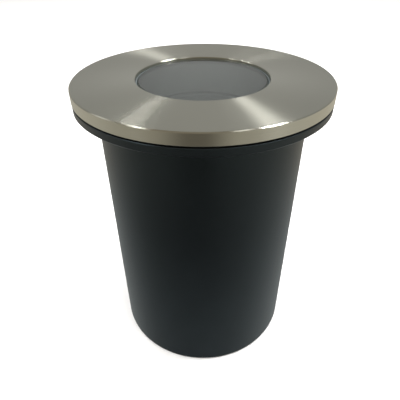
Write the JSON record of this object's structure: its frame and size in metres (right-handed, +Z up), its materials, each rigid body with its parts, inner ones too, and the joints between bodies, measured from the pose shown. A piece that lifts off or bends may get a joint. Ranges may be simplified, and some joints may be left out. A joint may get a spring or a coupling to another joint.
{
  "type": "in-ground well light",
  "caption": "Round in-ground well light: flat brushed trim ring with a recessed glass lens over a black sleeve, with a lift-out luminaire and a tilting lamp.",
  "frame": {"origin": "the centre of the sleeve's underside, on the surface that the light stands on", "axes": "+Z up along the vertical axis of the light, towards the lens; +X along the lamp's tilt axis"},
  "size_m": [0.1108, 0.1108, 0.139],
  "materials": {
    "black_moulding": "moulded, satin",
    "black_rubber": "moulded, matt",
    "brushed_stainless": "circular brushed on the face",
    "toughened_glass": "clear, polished, bevelled edge",
    "black_casting": "powder coated, fine texture",
    "spun_aluminium": "spun, satin",
    "zinc_plated_steel": "bright zinc plated",
    "spring_steel": "drawn, oiled",
    "cast_aluminium": "die cast, bead blasted",
    "lens_acrylic": "moulded, clear",
    "white_circuit_board": "solder mask",
    "white_ceramic": "unglazed steatite",
    "lead_insulation": "silicone sleeved",
    "natural_nylon": "moulded",
    "brass": "turned",
    "black_nylon": "moulded, fine spark-eroded texture"
  },
  "bodies": {
    "sleeve": {"mounting_sleeve": "black_moulding", "flange_gasket": "black_rubber"},
    "luminaire": {"lamp_housing": "black_casting", "housing_o_ring": "black_rubber", "lens_glass": "toughened_glass", "lens_seat_gasket": "black_rubber", "antiglare_shield": "spun_aluminium", "turntable_snap_ring": "spring_steel", "lamp_leads": "lead_insulation", "terminal_block": "natural_nylon", "terminal_inserts": "brass", "terminal_screws": "zinc_plated_steel", "block_fixing_screw": "zinc_plated_steel", "gland_body": "black_nylon", "gland_washer": "black_rubber", "gland_locknut": "black_nylon", "gland_seal": "black_rubber", "gland_cap_nut": "black_nylon"},
    "trim_seal": {"lens_top_gasket": "black_rubber"},
    "trim": {"trim_ring": "brushed_stainless"},
    "turntable": {"turntable": "zinc_plated_steel"},
    "gimbal": {"gimbal_ring": "cast_aluminium", "pivot_screws": "zinc_plated_steel", "lamp_clip": "spring_steel", "lamp_heatsink": "cast_aluminium", "lamp_lens": "lens_acrylic", "led_board": "white_circuit_board", "lamp_base": "white_ceramic", "lamp_pins": "zinc_plated_steel"},
    "lampholder": {"lampholder": "white_ceramic"}
  },
  "joints": [
    {"name": "luminaire_lift", "type": "slide", "parent": "sleeve", "child": "luminaire", "axis": [0, 0, 1], "range_m": [0, 0.12]},
    {"name": "trim_rise", "type": "slide", "parent": "luminaire", "child": "trim_seal", "axis": [0, 0, 1], "range_m": [0, 0.0034]},
    {"name": "trim_unscrew", "type": "hinge", "parent": "trim_seal", "child": "trim", "pos_m": [0, 0, 0.137], "axis": [0, 0, 1], "range_deg": [0, 810]},
    {"name": "turntable_turn", "type": "hinge", "parent": "luminaire", "child": "turntable", "pos_m": [0, 0, 0.125], "axis": [0, 0, 1], "range_deg": [-175, 175], "deforming": ["lamp_leads"]},
    {"name": "gimbal_tilt", "type": "hinge", "parent": "turntable", "child": "gimbal", "pos_m": [0, 0, 0.116], "axis": [1, 0, 0], "range_deg": [-15, 15], "deforming": ["lamp_leads"]},
    {"name": "lampholder_pull", "type": "slide", "parent": "gimbal", "child": "lampholder", "axis": [0, 0, -1], "range_m": [0, 0.0075], "deforming": ["lamp_leads"]}
  ],
  "couplings": [
    {"joint": "trim_rise", "follows": "trim_unscrew", "m_per_rad": 0.00023873}
  ]
}
